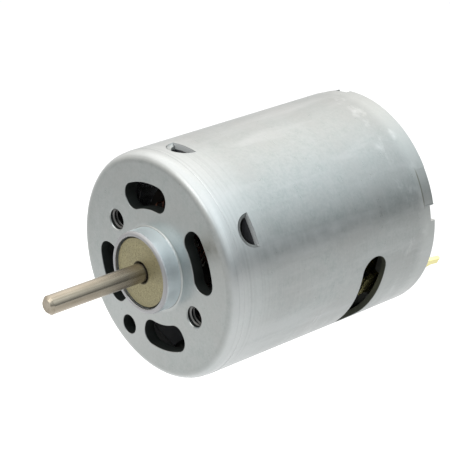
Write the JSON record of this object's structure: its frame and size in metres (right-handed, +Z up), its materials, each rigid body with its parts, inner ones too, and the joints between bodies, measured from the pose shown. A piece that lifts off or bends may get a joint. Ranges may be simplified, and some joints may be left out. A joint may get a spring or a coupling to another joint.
{
  "type": "electric motor",
  "caption": "Cylindrical brushed can motor with a plain output shaft, pilot boss, threaded face holes, arc vents, side slots and rear tab terminals.",
  "frame": {"origin": "centre of the front mounting face, on the shaft axis", "axes": "+Y along the shaft axis from the mounting face into the motor, so the output shaft points along -Y; +Z up with the screw holes' line rolled 28.5 degrees below +X, as the motor is displayed"},
  "size_m": [0.0276, 0.0521, 0.0276],
  "materials": {
    "can_steel": "satin plated deep-drawn steel",
    "sintered_bronze": "porous oil-filled sintered bronze",
    "shaft_steel": "ground and polished",
    "ferrite": "dark sintered ceramic magnet",
    "spring_steel": "bright rolled strip",
    "nylon": "fine moulded grain",
    "terminal_brass": "bright rolled brass",
    "leaf_bronze": "rolled spring bronze",
    "carbon": "pressed carbon",
    "lamination_steel": "punched silicon steel with thin edges showing",
    "insulation": "dark pressed insulating board",
    "enamelled_copper": "enamelled copper wire",
    "commutator_copper": "turned copper",
    "phenolic": "moulded phenolic",
    "varistor_ceramic": "fired ceramic",
    "washer_fibre": "hard fibre",
    "sleeve_plastic": "natural plastic"
  },
  "bodies": {
    "housing": {"can": "can_steel", "front_bearing": "sintered_bronze", "rear_bearing": "sintered_bronze", "end_cap": "nylon", "magnet_upper": "ferrite", "magnet_lower": "ferrite", "magnet_clip_right": "spring_steel", "magnet_clip_left": "spring_steel", "terminal_positive": "terminal_brass", "terminal_negative": "terminal_brass"},
    "rotor": {"shaft": "shaft_steel", "core_laminations": "lamination_steel", "front_insulator": "insulation", "rear_insulator": "insulation", "front_spacer": "sleeve_plastic", "rear_spacer": "sleeve_plastic", "front_thrust_washer": "washer_fibre", "rear_thrust_washer": "washer_fibre", "commutator_hub": "phenolic", "commutator_ring": "phenolic", "varistor_ring": "varistor_ceramic", "commutator_segment_1": "commutator_copper", "winding_1": "enamelled_copper", "commutator_segment_2": "commutator_copper", "winding_2": "enamelled_copper", "commutator_segment_3": "commutator_copper", "winding_3": "enamelled_copper", "commutator_segment_4": "commutator_copper", "winding_4": "enamelled_copper", "commutator_segment_5": "commutator_copper", "winding_5": "enamelled_copper"},
    "brush_gear_positive": {"brush_arm_positive": "leaf_bronze", "brush_positive": "carbon"},
    "brush_gear_negative": {"brush_arm_negative": "leaf_bronze", "brush_negative": "carbon"}
  },
  "joints": [
    {"name": "rotor_spin", "type": "hinge", "parent": "housing", "child": "rotor", "pos_m": [0, 0, 0], "axis": [0, 1, 0], "continuous": true},
    {"name": "brush_positive_lift", "type": "hinge", "parent": "housing", "child": "brush_gear_positive", "pos_m": [0.01107, 0.0261, -0.00027], "axis": [0, 1, 0], "range_deg": [0, 3], "stiffness_Nm_per_rad": 0.02, "springref_deg": -5.73},
    {"name": "brush_negative_lift", "type": "hinge", "parent": "housing", "child": "brush_gear_negative", "pos_m": [-0.01107, 0.0261, 0.00027], "axis": [0, 1, 0], "range_deg": [0, 3], "stiffness_Nm_per_rad": 0.02, "springref_deg": -5.73}
  ]
}
